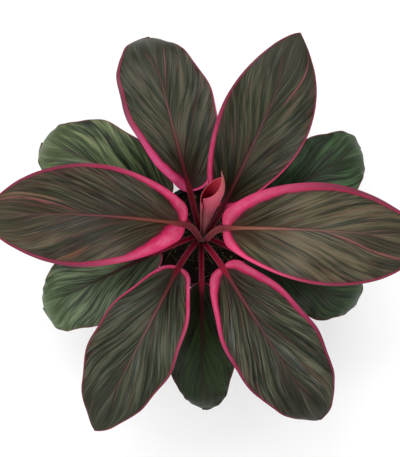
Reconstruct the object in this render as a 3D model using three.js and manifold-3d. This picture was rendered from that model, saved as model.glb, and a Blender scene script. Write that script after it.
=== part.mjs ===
// A ti plant with eleven leaves and a rolled young leaf, growing in a round nursery pot.
// Millimetres, +Z up. The origin is the middle of the pot's underside, on the stem's axis.
import * as THREE from 'three';
import { mergeVertices } from 'three/addons/utils/BufferGeometryUtils.js';
import Module from 'manifold-3d';

const wasm = await Module();
wasm.setup();

const CLEARANCE = 0.3;

// Pot: a thin wall, a stepped rim, and drain holes through the floor.
const POT_HEIGHT = 108;
const POT_WALL = 1.6;
const POT_SIDES = 48;
const BASE_RADIUS = 41;
const BASE_ROUNDING = 2;
const RIM_RADIUS = 57.5;
const RIM_DEPTH = 10;
const RIM_STEP = 2.4;
const RIM_CORNER = 0.4;
const RIM_EDGE = 0.8;
const DRAIN_COUNT = 6;
const DRAIN_RADIUS = 4.5;
const DRAIN_CIRCLE = 31;
const DRAIN_SIDES = 16;
const DRAIN_CUT = 20;

// Soil: fills the pot to a little below the rim.
const SOIL_HEIGHT = 98;
const SOIL_UNEVENNESS = 0.7;
const SOIL_SWELL = [0.19, 0.16];
const SOIL_LUMPS = [0.47, 0.31, 0.28, 0.52];
const SOIL_SWELL_SHARE = 0.6;
const SOIL_EDGE_DROP = 1.5;
const SOIL_RINGS = 8;

// Stem: a short cane in a plain hole in the soil.
const STEM_RADIUS = 6;
const STEM_HEIGHT = 37;
const STEM_DEPTH = 24;
const STEM_SIDES = 20;
const STEM_CORNER = 0.5;
const LEAF_SCAR_SPACING = 6;
const LEAF_SCAR_GROOVE = 0.4;
const LEAF_SCAR_HALF_HEIGHT = 0.8;
const LEAF_SCAR_MARGIN = 2;

// Leaves: thickness, cross-section, and how finely each one is divided.
const EDGE_THICKNESS = 0.8;
const PETIOLE_THICKNESS = 2.8;
const TIP_RIB_THICKNESS = 0.9;
const RIB_HALF_WIDTH = 2.6;
const RIB_FLARE = 1.4;
const RIB_FADE = 0.6;
const HEEL_HALF_WIDTH = 3;
const HEEL_LENGTH = 24;
const SHORTEST_HALF_WIDTH = 0.5;
const PETIOLE_TURN = 2.5;
const PETIOLE_ARC = 75;
const PETIOLE_MERGE = 0.12;
const BLADE_CREASE = [35, 14, 10];
const BLADE_ARC = [25, -10, -25];
const WAVE_COUNT = 3;
const WAVE_HEIGHT = 2;
const WAVE_SHIFT = 0.37;
const WAVE_REACH = 2.5;
const WAVE_ONSET = 3;
const RUFFLE_SHIFT = 0.31;
const RUFFLE_ONSET = 4;
const RUFFLE_END = 6;
const PETIOLE_STATIONS = 6;
const BLADE_STATIONS = 18;
const CENTRELINE_STEPS = 240;

/*
Each leaf, from the top of the stem down.
  node             height above the soil at which its petiole leaves the stem
  seat, reach      azimuth of the petiole's foot round the stem, and its distance from the axis
  heading          azimuths in which it runs at the foot, at the blade's base and at its tip
  rise             elevations at the foot, at the blade's base, middle and tip
  curl             how late the outer half of the blade bends down
  petiole, blade   their lengths
  stalk            half width of the petiole
  left, right      for each half of the blade, seen from the foot: its half width, and the
                   roundness of its base and of its tip, where a smaller number is blunter
  ruffle           waves along the margin: how many, how deep, and their phase
*/
const UPPER = { reach: 8.2, curl: 1.5, stalk: 3.8, ruffle: [0, 0, 0] };
const LOWER = { ...UPPER, rise: [60, 30, -5, -80], curl: 2, stalk: 3.5 };
const LEAVES = {
  leaf_left: {
    ...UPPER, node: 38.6, seat: 237, reach: 4.2, heading: [118, 171, 184], rise: [72, 46, 6, -22],
    petiole: 48, blade: 218, left: [53, 0.68, 0.7], right: [53, 0.6, 0.74], colour: 0x43443a,
  },
  leaf_right: {
    ...UPPER, node: 38.2, seat: 322, reach: 5.2, heading: [50, 1, -8], rise: [74, 48, 8, -20],
    petiole: 48, blade: 219, left: [49, 0.6, 0.78], right: [55, 0.65, 0.62], colour: 0x46463b,
  },
  leaf_upper_right: {
    ...UPPER, node: 26.5, seat: 38, reach: 8.5, heading: [60, 63.5, 68], rise: [72, 46, 6, -18],
    petiole: 58, blade: 204, left: [46, 0.62, 0.73], right: [47, 0.95, 0.9], colour: 0x3a3d35,
  },
  leaf_lower_right: {
    ...UPPER, node: 29, seat: 290, heading: [309, 302, 303], rise: [68, 40, 2, -50],
    petiole: 52, blade: 206, left: [49, 0.53, 0.6], right: [46, 0.58, 0.74],
    ruffle: [4, 0.9, 0.8], colour: 0x383c34,
  },
  leaf_upper_left: {
    ...UPPER, node: 20.6, seat: 115, heading: [103, 105, 104], rise: [70, 38, 2, -75], curl: 2,
    petiole: 72, blade: 186, left: [45, 0.72, 0.51], right: [50, 0.6, 0.88],
    ruffle: [4, 0.8, 0], colour: 0x3a3d34,
  },
  leaf_lower_left: {
    ...UPPER, node: 22, seat: 220, heading: [231, 243, 242], rise: [68, 40, 2, -30],
    petiole: 57, blade: 200, left: [43, 0.58, 0.68], right: [48, 0.74, 0.82],
    ruffle: [4, 1.1, 0.82], colour: 0x363b33,
  },
  leaf_under_right: {
    ...LOWER, node: 20, seat: 345, heading: [336, 335, 335], rise: [58, 25, -8, -75],
    petiole: 58, blade: 145, left: [39, 0.6, 0.42], right: [36, 0.48, 0.78],
    ruffle: [4, 1.9, 0.54], colour: 0x22301f,
  },
  leaf_under_left: {
    ...LOWER, node: 17, seat: 182, heading: [200, 205, 207], rise: [58, 25, -8, -75],
    petiole: 55, blade: 157, left: [42, 0.5, 0.42], right: [42, 0.5, 0.76],
    ruffle: [3, 1.8, 0.27], colour: 0x33422d,
  },
  leaf_under_upper_right: {
    ...LOWER, node: 14, seat: 28, reach: 7.5, heading: [28, 30, 28],
    petiole: 66, blade: 159, left: [36, 0.6, 0.54], right: [43, 0.56, 0.7],
    ruffle: [4, 1.1, 0.54], colour: 0x273524,
  },
  leaf_under_upper_left: {
    ...LOWER, node: 11, seat: 150, heading: [128, 148, 161],
    petiole: 66, blade: 167, left: [41, 0.42, 0.5], right: [48, 0.5, 0.82],
    ruffle: [3, 2.1, 0.5], colour: 0x304029,
  },
  leaf_under_front: {
    ...LOWER, node: 8, seat: 262, heading: [270, 271, 269], rise: [58, 20, -12, -75], stalk: 3.2,
    petiole: 54, blade: 158, left: [35, 0.56, 0.62], right: [37, 0.6, 0.85],
    ruffle: [3, 1.6, 0.42], colour: 0x1c2a18,
  },
};

// Spear: the youngest leaf, rolled round its own axis, with its point still leaning out.
const SPEAR_FOOT = [0.4, 3.4];
const SPEAR_TIP = [17.6, 63.4, 273];
const SPEAR_GAP = 1.6;
const SPEAR_THICKNESS = 0.9;
const SPEAR_FOOT_RADIUS = 2.6;
const SPEAR_RADIUS = 11;
const SPEAR_SWELL = [-0.1, 0.8];
const SPEAR_BOW = 1.8;
const SPEAR_TAPER_START = 0.68;
const SPEAR_BLUNTNESS = 1.1;
const SPEAR_OPENING = 0.56;
const SPEAR_EDGE_FALL = [1, 0.4];
const SPEAR_WRAP = 205;
const SPEAR_LEAST_RADIUS = 0.12;
const SPEAR_LEAST_WRAP = 0.02;
const SPEAR_SPIRAL = 0.14;
const SPEAR_MIDRIB_TURN = -60;
const SPEAR_STATIONS = 28;
const SPEAR_COLUMNS = 18;

const { cos, sin, PI, hypot, min, max, abs, sign } = Math;
const { lerp, degToRad, smoothstep } = THREE.MathUtils;
const MATERIALS = {
  pot: { color: 0x1b1b1c, roughness: 0.55, metalness: 0 },
  soil: { color: 0x1d1510, roughness: 1, metalness: 0 },
  stem: { color: 0x4a2a2c, roughness: 0.7, metalness: 0 },
  spear: { color: 0xd25f72, roughness: 0.45, metalness: 0 },
};

// Turns a geometry's faces into a solid for cutting and joining.
function toSolid(geometry) {
  const plain = new THREE.BufferGeometry();
  plain.setAttribute('position', geometry.getAttribute('position'));
  plain.setIndex(geometry.index);
  const merged = mergeVertices(plain, 1e-4);
  return new wasm.Manifold(new wasm.Mesh({
    numProp: 3,
    vertProperties: new Float32Array(merged.getAttribute('position').array),
    triVerts: new Uint32Array(merged.index.array),
  }));
}

function fromSolid(solid) {
  const { vertProperties, triVerts } = solid.getMesh();
  const geometry = new THREE.BufferGeometry();
  geometry.setAttribute('position', new THREE.BufferAttribute(new Float32Array(vertProperties), 3));
  geometry.setIndex(Array.from(triVerts));
  geometry.computeVertexNormals();
  return geometry;
}

// A round solid about Z from [radius, height] points that start and end on the axis.
function turned(points, sides) {
  const profile = points.map(([radius, height]) => new THREE.Vector2(radius, height));
  const geometry = new THREE.LatheGeometry(profile, sides);
  geometry.rotateX(PI / 2);
  return geometry;
}

// A closed sheet between a top and an underside, both given as rows of points.
function sheet(top, underside) {
  const rows = top.length;
  const columns = top[0].length;
  const points = [...top.flat(), ...underside.flat()];
  const below = rows * columns;
  const at = (row, column) => row * columns + column;
  const faces = [];
  for (let row = 0; row < rows - 1; row += 1) {
    for (let column = 0; column < columns - 1; column += 1) {
      const a = at(row, column);
      const b = at(row + 1, column);
      const c = at(row + 1, column + 1);
      const d = at(row, column + 1);
      faces.push(a, b, c, a, c, d);
      faces.push(below + a, below + c, below + b, below + a, below + d, below + c);
    }
  }
  const wall = (a, b) => faces.push(a, below + b, b, a, below + a, below + b);
  for (let row = 0; row < rows - 1; row += 1) {
    wall(at(row, 0), at(row + 1, 0));
    wall(at(row + 1, columns - 1), at(row, columns - 1));
  }
  for (let column = 0; column < columns - 1; column += 1) {
    wall(at(0, column + 1), at(0, column));
    wall(at(rows - 1, column), at(rows - 1, column + 1));
  }
  const geometry = new THREE.BufferGeometry().setFromPoints(points);
  geometry.setIndex(faces);
  geometry.computeVertexNormals();
  return geometry;
}

// Value at share, between three values that stand at 0, one half and 1.
function throughThree([first, middle, last], share) {
  return share < 0.5 ? lerp(first, middle, share * 2) : lerp(middle, last, share * 2 - 1);
}

// Elevation and azimuth of a leaf's centreline at a length from its foot, in degrees.
function direction(leaf, length) {
  const [foot, base, middle, tip] = leaf.rise;
  const [start, out, end] = leaf.heading;
  if (length < leaf.petiole) {
    const share = length / leaf.petiole;
    return [lerp(foot, base, share), lerp(start, out, share ** PETIOLE_TURN)];
  }
  const share = (length - leaf.petiole) / leaf.blade;
  const elevation = share < 0.5
    ? lerp(base, middle, share * 2)
    : lerp(middle, tip, (share * 2 - 1) ** leaf.curl);
  return [elevation, lerp(out, end, share)];
}

// Points along a leaf's centreline, each with the directions along, across and up.
function centreline(leaf) {
  const seat = degToRad(leaf.seat);
  const point = new THREE.Vector3(leaf.reach * cos(seat), leaf.reach * sin(seat), SOIL_HEIGHT + leaf.node);
  const step = (leaf.petiole + leaf.blade) / CENTRELINE_STEPS;
  const line = [];
  let before = null;
  for (let count = 0; count <= CENTRELINE_STEPS; count += 1) {
    const length = count * step;
    const [elevation, azimuth] = direction(leaf, length).map(degToRad);
    const along = new THREE.Vector3(
      cos(elevation) * cos(azimuth),
      cos(elevation) * sin(azimuth),
      sin(elevation),
    );
    const across = new THREE.Vector3(-sin(azimuth), cos(azimuth), 0);
    if (before) point.addScaledVector(before.clone().add(along), step / 2);
    before = along;
    line.push({ length, point: point.clone(), across, up: along.clone().cross(across) });
  }
  return line;
}

// Centreline at any length, between its two nearest points.
function stationAt(line, length) {
  const place = min(length / line[1].length, line.length - 1 - 1e-9);
  const low = line[Math.floor(place)];
  const high = line[Math.floor(place) + 1];
  const share = place - Math.floor(place);
  return {
    point: low.point.clone().lerp(high.point, share),
    across: low.across.clone().lerp(high.across, share).normalize(),
    up: low.up.clone().lerp(high.up, share).normalize(),
  };
}

// Half width of a leaf on one side: the petiole, then the blade's outline with its ruffle.
function halfWidth(leaf, length, side) {
  if (length < leaf.petiole) {
    return lerp(HEEL_HALF_WIDTH, leaf.stalk, min(1, length / HEEL_LENGTH));
  }
  const share = (length - leaf.petiole) / leaf.blade;
  const [widest, base, tip] = side > 0 ? leaf.left : leaf.right;
  const peak = base / (base + tip);
  const [count, depth, phase] = leaf.ruffle;
  const turn = count * share + phase + (side > 0 ? RUFFLE_SHIFT : 0);
  const fade = min(1, RUFFLE_ONSET * share) * min(1, RUFFLE_END * (1 - share));
  const outline = widest * (share / peak) ** base * ((1 - share) / (1 - peak)) ** tip;
  const blade = outline + depth * sin(2 * PI * turn) * fade;
  return max(hypot(leaf.stalk * (1 - share) ** 2, blade), SHORTEST_HALF_WIDTH);
}

// Slope at the midrib and the turn from there to the margin, in radians.
function bend(share) {
  if (share <= 0) return [0, degToRad(PETIOLE_ARC)];
  const out = max(0, (share - PETIOLE_MERGE) / (1 - PETIOLE_MERGE));
  const merge = min(1, share / PETIOLE_MERGE);
  const crease = throughThree(BLADE_CREASE, out) * merge;
  const arc = lerp(PETIOLE_ARC, throughThree(BLADE_ARC, out), merge);
  return [degToRad(crease), degToRad(arc)];
}

// Thickness falls from the midrib to an even blade.
function thicknessAt(share, rib, across) {
  const middle = lerp(PETIOLE_THICKNESS, TIP_RIB_THICKNESS, max(0, share) ** RIB_FADE);
  const fall = max(0, 1 - abs(across) / (rib * RIB_FLARE));
  return EDGE_THICKNESS + (middle - EDGE_THICKNESS) * fall;
}

// Upper and lower point of a leaf at a length and at across from -1 (right) to 1 (left).
function leafPoints(leaf, line, length, across, rib) {
  const { point, across: sideways, up } = stationAt(line, length);
  const share = (length - leaf.petiole) / leaf.blade;
  const width = halfWidth(leaf, length, across);
  const [crease, arc] = bend(share);
  const reach = abs(across);
  const slope = crease + arc * reach;
  const flat = abs(arc) < 1e-4;
  const out = width * (flat ? cos(crease) * reach : (sin(slope) - sin(crease)) / arc);
  const rise = width * (flat ? sin(crease) * reach : (cos(crease) - cos(slope)) / arc);
  const turn = WAVE_COUNT * share + (across > 0 ? WAVE_SHIFT : 0);
  const growth = reach ** WAVE_REACH * min(1, WAVE_ONSET * max(0, share));
  const wave = WAVE_HEIGHT * sin(2 * PI * turn) * growth;
  const upper = point.clone()
    .addScaledVector(sideways, out * sign(across))
    .addScaledVector(up, rise + wave);
  const thickness = thicknessAt(share, rib, across);
  const lower = upper.clone()
    .addScaledVector(up, -thickness * cos(across === 0 ? 0 : slope))
    .addScaledVector(sideways, thickness * (across === 0 ? 0 : sin(slope)) * sign(across));
  return [upper, lower];
}

// One leaf, petiole and blade together.
function leafGeometry(leaf) {
  const line = centreline(leaf);
  const lengths = [];
  for (let count = 0; count < PETIOLE_STATIONS; count += 1) {
    lengths.push(leaf.petiole * count / PETIOLE_STATIONS);
  }
  for (let count = 0; count <= BLADE_STATIONS; count += 1) {
    lengths.push(leaf.petiole + leaf.blade * (1 - cos(PI * count / BLADE_STATIONS)) / 2);
  }
  const top = [];
  const underside = [];
  for (const length of lengths) {
    const rib = min(0.5, RIB_HALF_WIDTH / max(halfWidth(leaf, length, 1), halfWidth(leaf, length, -1)));
    const half = [rib, lerp(rib, 1, 0.25), lerp(rib, 1, 0.5), 1];
    const columns = [...half.map((share) => -share).reverse(), 0, ...half];
    const pairs = columns.map((across) => leafPoints(leaf, line, length, across, rib));
    top.push(pairs.map(([upper]) => upper));
    underside.push(pairs.map(([, lower]) => lower));
  }
  return sheet(top, underside);
}

function potGeometry() {
  const below = POT_HEIGHT - RIM_DEPTH;
  const rimInside = RIM_RADIUS - POT_WALL;
  const wallTop = RIM_RADIUS - RIM_STEP;
  const bevel = BASE_ROUNDING * (1 - Math.SQRT1_2);
  const body = turned([
    [0, 0],
    [BASE_RADIUS - BASE_ROUNDING, 0],
    [BASE_RADIUS - bevel, bevel],
    [BASE_RADIUS, BASE_ROUNDING],
    [wallTop - RIM_CORNER, below],
    [RIM_RADIUS - RIM_CORNER, below + RIM_CORNER],
    [RIM_RADIUS, below + 2 * RIM_CORNER],
    [RIM_RADIUS, POT_HEIGHT - RIM_EDGE],
    [RIM_RADIUS - RIM_EDGE / 2, POT_HEIGHT],
    [rimInside, POT_HEIGHT],
    [rimInside, below + POT_WALL],
    [wallTop - POT_WALL - RIM_CORNER, below],
    [BASE_RADIUS - POT_WALL, BASE_ROUNDING + POT_WALL],
    [0, BASE_ROUNDING + POT_WALL],
  ], POT_SIDES);
  let solid = toSolid(body);
  for (let count = 0; count < DRAIN_COUNT; count += 1) {
    const turn = 2 * PI * (count + 0.5) / DRAIN_COUNT;
    const drain = new THREE.CylinderGeometry(DRAIN_RADIUS, DRAIN_RADIUS, DRAIN_CUT, DRAIN_SIDES);
    drain.rotateX(PI / 2);
    drain.translate(DRAIN_CIRCLE * cos(turn), DRAIN_CIRCLE * sin(turn), 0);
    solid = solid.subtract(toSolid(drain));
  }
  return fromSolid(solid);
}

// Height of the soil above its even level.
function soilRelief(x, y) {
  const [a, b, c, d] = SOIL_LUMPS;
  const swell = sin(SOIL_SWELL[0] * x + 1) * cos(SOIL_SWELL[1] * y);
  const lumps = sin(a * x - b * y) * cos(c * x + d * y);
  return SOIL_UNEVENNESS * lerp(lumps, swell, SOIL_SWELL_SHARE);
}

function soilGeometry() {
  const below = POT_HEIGHT - RIM_DEPTH;
  const wallRadius = (height) => lerp(
    BASE_RADIUS - POT_WALL,
    RIM_RADIUS - RIM_STEP - POT_WALL - RIM_CORNER,
    (height - BASE_ROUNDING - POT_WALL) / (below - BASE_ROUNDING - POT_WALL),
  ) - CLEARANCE;
  const floor = BASE_ROUNDING + POT_WALL + CLEARANCE;
  const hole = STEM_RADIUS + CLEARANCE;
  const shoulder = SOIL_HEIGHT - SOIL_EDGE_DROP;
  const edge = wallRadius(shoulder);
  const profile = [[0, floor], [wallRadius(floor), floor], [edge, shoulder]];
  for (let ring = 0; ring <= SOIL_RINGS; ring += 1) {
    profile.push([lerp(edge - SOIL_EDGE_DROP, hole, ring / SOIL_RINGS), SOIL_HEIGHT]);
  }
  profile.push([hole, SOIL_HEIGHT - STEM_DEPTH], [0, SOIL_HEIGHT - STEM_DEPTH]);
  const geometry = turned(profile, POT_SIDES);
  const points = geometry.getAttribute('position');
  for (let index = 0; index < points.count; index += 1) {
    if (abs(points.getZ(index) - SOIL_HEIGHT) > 0.01) continue;
    points.setZ(index, SOIL_HEIGHT + soilRelief(points.getX(index), points.getY(index)));
  }
  return geometry;
}

function stemGeometry() {
  const foot = SOIL_HEIGHT - STEM_DEPTH + CLEARANCE;
  const top = SOIL_HEIGHT + STEM_HEIGHT;
  const profile = [[0, foot], [STEM_RADIUS - STEM_CORNER, foot], [STEM_RADIUS, foot + STEM_CORNER]];
  const first = SOIL_HEIGHT + LEAF_SCAR_MARGIN;
  for (let height = first; height < top - LEAF_SCAR_MARGIN; height += LEAF_SCAR_SPACING) {
    profile.push([STEM_RADIUS, height - LEAF_SCAR_HALF_HEIGHT]);
    profile.push([STEM_RADIUS - LEAF_SCAR_GROOVE, height]);
    profile.push([STEM_RADIUS, height + LEAF_SCAR_HALF_HEIGHT]);
  }
  profile.push([STEM_RADIUS, top - STEM_CORNER], [STEM_RADIUS - STEM_CORNER, top], [0, top]);
  return turned(profile, STEM_SIDES);
}

// The rolled leaf: a sheet wound round a leaning axis, its width dying out at the point.
function spearGeometry() {
  const foot = new THREE.Vector3(...SPEAR_FOOT, SOIL_HEIGHT + STEM_HEIGHT + SPEAR_GAP);
  const tip = new THREE.Vector3(...SPEAR_TIP);
  const axis = tip.clone().sub(foot).normalize();
  const sideways = new THREE.Vector3(0, 0, 1).cross(axis).normalize();
  const back = axis.clone().cross(sideways).negate();
  const length = tip.distanceTo(foot);
  const top = [];
  const underside = [];
  for (let row = 0; row <= SPEAR_STATIONS; row += 1) {
    const share = row / SPEAR_STATIONS;
    const swell = smoothstep(share, ...SPEAR_SWELL);
    const taper = max(0, share - SPEAR_TAPER_START) / (1 - SPEAR_TAPER_START);
    const narrow = max(SPEAR_LEAST_RADIUS, cos(PI * taper / 2) ** SPEAR_BLUNTNESS);
    const radius = lerp(SPEAR_FOOT_RADIUS, SPEAR_RADIUS, swell) * narrow;
    const opening = max(0, share - SPEAR_OPENING) / (1 - SPEAR_OPENING);
    const wraps = SPEAR_EDGE_FALL.map(
      (fall) => degToRad(SPEAR_WRAP) * max(SPEAR_LEAST_WRAP, 1 - opening ** fall),
    );
    const centre = foot.clone().addScaledVector(axis, share * length);
    centre.x -= SPEAR_BOW * sin(PI * share);
    const outer = [];
    const inner = [];
    for (let column = 0; column <= SPEAR_COLUMNS; column += 1) {
      const across = 2 * column / SPEAR_COLUMNS - 1;
      const turn = across * wraps[across > 0 ? 1 : 0] + degToRad(SPEAR_MIDRIB_TURN);
      const spread = radius * (1 + SPEAR_SPIRAL * across);
      const ray = back.clone().multiplyScalar(cos(turn)).addScaledVector(sideways, sin(turn));
      outer.push(centre.clone().addScaledVector(ray, spread));
      inner.push(centre.clone().addScaledVector(ray, spread - SPEAR_THICKNESS));
    }
    top.push(inner);
    underside.push(outer);
  }
  return sheet(top, underside);
}

const plant = new THREE.Group();

function addMesh(name, geometry, settings) {
  const mesh = new THREE.Mesh(geometry, new THREE.MeshStandardMaterial(settings));
  mesh.name = name;
  plant.add(mesh);
}

addMesh('pot', potGeometry(), MATERIALS.pot);
addMesh('soil', soilGeometry(), MATERIALS.soil);
addMesh('stem', stemGeometry(), MATERIALS.stem);
addMesh('spear', spearGeometry(), MATERIALS.spear);
for (const [name, leaf] of Object.entries(LEAVES)) {
  addMesh(name, leafGeometry(leaf), { color: leaf.colour, roughness: 0.5, metalness: 0 });
}

export default plant;
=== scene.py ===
"""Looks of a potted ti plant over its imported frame. Metres, +Z up, the pot's underside at the origin."""

import logging
import math
from abc import ABC, abstractmethod
from collections.abc import Callable, Mapping, Sequence
from dataclasses import dataclass
from enum import Enum
from typing import Any

import bmesh
import bpy
import numpy as np
from bmesh.types import BMesh, BMVert
from bpy.types import ID, ColorRamp, Material, Mesh, NodeSocket, Object
from mathutils import Matrix, Vector, noise


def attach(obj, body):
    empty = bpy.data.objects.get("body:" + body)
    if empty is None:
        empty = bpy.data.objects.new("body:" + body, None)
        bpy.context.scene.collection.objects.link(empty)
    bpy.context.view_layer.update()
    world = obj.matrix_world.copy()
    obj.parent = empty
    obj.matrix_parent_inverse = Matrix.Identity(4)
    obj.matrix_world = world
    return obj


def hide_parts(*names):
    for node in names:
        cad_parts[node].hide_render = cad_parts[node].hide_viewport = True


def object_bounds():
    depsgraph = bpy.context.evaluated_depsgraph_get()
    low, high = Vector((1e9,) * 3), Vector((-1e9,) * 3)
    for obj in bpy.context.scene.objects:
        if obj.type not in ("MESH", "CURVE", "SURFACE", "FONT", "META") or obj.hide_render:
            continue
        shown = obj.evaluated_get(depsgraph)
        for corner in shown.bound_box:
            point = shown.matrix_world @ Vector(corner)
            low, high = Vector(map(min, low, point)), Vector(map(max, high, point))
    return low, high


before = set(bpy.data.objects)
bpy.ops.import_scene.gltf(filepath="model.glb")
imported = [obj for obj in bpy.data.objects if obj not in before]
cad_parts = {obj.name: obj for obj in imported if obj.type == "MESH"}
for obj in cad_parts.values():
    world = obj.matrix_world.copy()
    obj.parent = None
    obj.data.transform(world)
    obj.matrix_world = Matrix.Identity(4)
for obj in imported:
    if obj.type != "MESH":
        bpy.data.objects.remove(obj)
CAD_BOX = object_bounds()

LOG = logging.getLogger("ti_plant")
MM = 0.001
SOIL_HEIGHT = 98.0
STEM_HEIGHT = 37.0
STEM_DEPTH = 24.0
STEM_RADIUS = 6.0
CLEARANCE = 0.3


class Slot(Enum):
    """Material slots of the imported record."""

    POT = "pot"
    SOIL = "soil"
    STEM = "stem"
    YOUNG_LEAF = "young_leaf"
    TOP_LEAF = "top_leaf"
    DARK_LEAF = "dark_leaf"
    GREEN_LEAF = "green_leaf"


def colour(code: str) -> tuple[float, float, float, float]:
    """Linear colour of a six-figure screen colour."""
    parts = [int(code[at : at + 2], 16) / 255 for at in (0, 2, 4)]
    linear = [part / 12.92 if part <= 0.04045 else ((part + 0.055) / 1.055) ** 2.4 for part in parts]
    return linear[0], linear[1], linear[2], 1.0


def smooth(value: np.ndarray, low: float, high: float) -> np.ndarray:
    """Share from 0 at low to 1 at high, with eased ends."""
    share = np.clip((value - low) / (high - low), 0.0, 1.0)
    return share * share * (3.0 - 2.0 * share)


def between(first: Any, last: Any, share: Any) -> Any:
    """Value at share between first and last."""
    return first + (last - first) * share


def unit(rows: np.ndarray) -> np.ndarray:
    """The same directions with length 1, one row each."""
    return rows / np.linalg.norm(rows, axis=-1, keepdims=True)


def through_three(values: Sequence[float], share: np.ndarray) -> np.ndarray:
    """Value at share between three values that stand at 0, one half and 1."""
    return np.interp(share, (0.0, 0.5, 1.0), values)


def joined(operation: str, reflected: bool = False) -> Callable[..., "Wire"]:
    """Makes a method of Wire that adds a Math node.

    Args:
        operation: what the node does.
        reflected: whether the wire stands on the right of the other value.

    Returns:
        The method, which takes the other value if the operation needs one.
    """

    def method(wire: "Wire", *others: Any) -> "Wire":
        """Output of a Math node on this wire and the other value."""
        values = (*others, wire) if reflected else (wire, *others)
        return wire.tree.add("ShaderNodeMath", {"operation": operation}, dict(enumerate(values)))

    return method


class Wire:
    """One output of a material's node. Arithmetic on it, from either side, adds Math nodes."""

    def __init__(self, tree: "Tree", socket: NodeSocket) -> None:
        """Keeps the tree that the socket belongs to."""
        self.tree = tree
        self.socket = socket

    __add__, __radd__ = joined("ADD"), joined("ADD", True)
    __sub__, __rsub__ = joined("SUBTRACT"), joined("SUBTRACT", True)
    __mul__, __rmul__ = joined("MULTIPLY"), joined("MULTIPLY", True)
    __pow__, __abs__ = joined("POWER"), joined("ABSOLUTE")
    above = joined("GREATER_THAN")

    def towards(self, shade: Any, share: Any) -> "Wire":
        """This colour moved towards a wire or a six-figure screen colour."""
        return self.tree.mix(self, shade, share)

    def smooth(self, low: float, high: float) -> "Wire":
        """Share from 0 at low to 1 at high, with eased ends."""
        settings = {"interpolation_type": "SMOOTHSTEP"}
        return self.tree.add("ShaderNodeMapRange", settings, {0: self, 1: low, 2: high, 3: 0.0, 4: 1.0})


class Tree:
    """Node tree of one material."""

    def __init__(self, name: str) -> None:
        """Starts an empty material of that name."""
        self.material = bpy.data.materials.new(name)
        self.material.use_nodes = True
        self.nodes = self.material.node_tree.nodes
        self.links = self.material.node_tree.links
        self.nodes.clear()

    def add(
        self,
        kind: str,
        settings: Mapping[str, Any] | None = None,
        inputs: Mapping[int | str, Any] | None = None,
        output: int | str = 0,
    ) -> Wire:
        """Adds a node.

        Args:
            kind: the node's type.
            settings: its properties, set first; "stops" fills a colour ramp.
            inputs: values or wires for its sockets.
            output: which output is wanted.

        Returns:
            The wire of that output.
        """
        node = self.nodes.new(kind)
        for name, value in (settings or {}).items():
            if name == "stops":
                self._fill_ramp(node.color_ramp, value)
            else:
                setattr(node, name, value)
        for name, value in (inputs or {}).items():
            if isinstance(value, Wire):
                self.links.new(value.socket, node.inputs[name])
            else:
                node.inputs[name].default_value = value
        return Wire(self, node.outputs[output])

    @staticmethod
    def _fill_ramp(ramp: ColorRamp, stops: Sequence[tuple[float, str]]) -> None:
        """Gives a ramp these stops, in rising order."""
        while len(ramp.elements) < len(stops):
            ramp.elements.new(1.0)
        for element, (place, code) in zip(ramp.elements, stops):
            element.position = place
            element.color = colour(code)

    def mix(self, first: Any, last: Any, share: Any) -> Wire:
        """Colour between two wires or six-figure screen colours."""
        start, end = (colour(shade) if isinstance(shade, str) else shade for shade in (first, last))
        return self.add("ShaderNodeMix", {"data_type": "RGBA"}, {0: share, 6: start, 7: end}, 2)

    def ramp(self, place: Wire, stops: Sequence[tuple[float, str]]) -> Wire:
        """Colour at a place on a row of (place, six-figure screen colour) stops."""
        return self.add("ShaderNodeValToRGB", {"stops": stops}, {0: place})

    def parts(self, vector: Wire) -> tuple[Wire, Wire, Wire]:
        """The three numbers of a vector."""
        first = self.add("ShaderNodeSeparateXYZ", None, {0: vector})
        outputs = first.socket.node.outputs
        return first, Wire(self, outputs[1]), Wire(self, outputs[2])

    def attribute(self, name: str) -> tuple[Wire, Wire, Wire]:
        """The three numbers of a mesh attribute."""
        return self.parts(self.add("ShaderNodeAttribute", {"attribute_name": name}, None, "Vector"))

    def vector(self, *numbers: Any) -> Wire:
        """A vector of three numbers."""
        return self.add("ShaderNodeCombineXYZ", None, dict(enumerate(numbers)))

    def place(self) -> Wire:
        """Object coordinates."""
        return self.add("ShaderNodeTexCoord", None, None, "Object")

    def noise(self, vector: Wire, scale: float, detail: float = 2.0, rough: float = 0.5) -> Wire:
        """Noise from 0 to 1 at a vector."""
        inputs = {"Vector": vector, "Scale": scale, "Detail": detail, "Roughness": rough}
        return self.add("ShaderNodeTexNoise", None, inputs)

    def grain(self, *numbers: Any, detail: float = 2.0, rough: float = 0.5) -> Wire:
        """Noise from 0 to 1 at three numbers."""
        return self.noise(self.vector(*numbers), 1.0, detail, rough)

    def bump(self, height: Wire, depth: float, strength: float = 1.0) -> Wire:
        """Normal of a relief of that depth in metres."""
        return self.add("ShaderNodeBump", None, {"Strength": strength, "Distance": depth, "Height": height})

    def finish(self, base: Wire, roughness: Wire, normal: Wire | None = None, **constants: float) -> Material:
        """Closes the tree with its surface.

        Args:
            base: base colour.
            roughness: roughness from 0 to 1.
            normal: bumped normal, if there is one.
            constants: values of other sockets, with _ for each space in their names.

        Returns:
            The finished material.
        """
        inputs: dict[int | str, Any] = {"Base Color": base, "Roughness": roughness}
        if normal is not None:
            inputs["Normal"] = normal
        for name, value in constants.items():
            inputs[name.replace("_", " ")] = value
        surface = self.add("ShaderNodeBsdfPrincipled", None, inputs)
        end = self.nodes.new("ShaderNodeOutputMaterial")
        self.links.new(surface.socket, end.inputs["Surface"])
        return self.material


def mesh_of(name: str, bm: BMesh) -> Mesh:
    """Turns a bmesh into a mesh and frees it."""
    mesh = bpy.data.meshes.new(name)
    bm.to_mesh(mesh)
    bm.free()
    return mesh


def place_object(name: str, data: ID) -> Object:
    """Puts a mesh, lamp or camera into the scene."""
    item = bpy.data.objects.new(name, data)
    bpy.context.scene.collection.objects.link(item)
    return item


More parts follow.
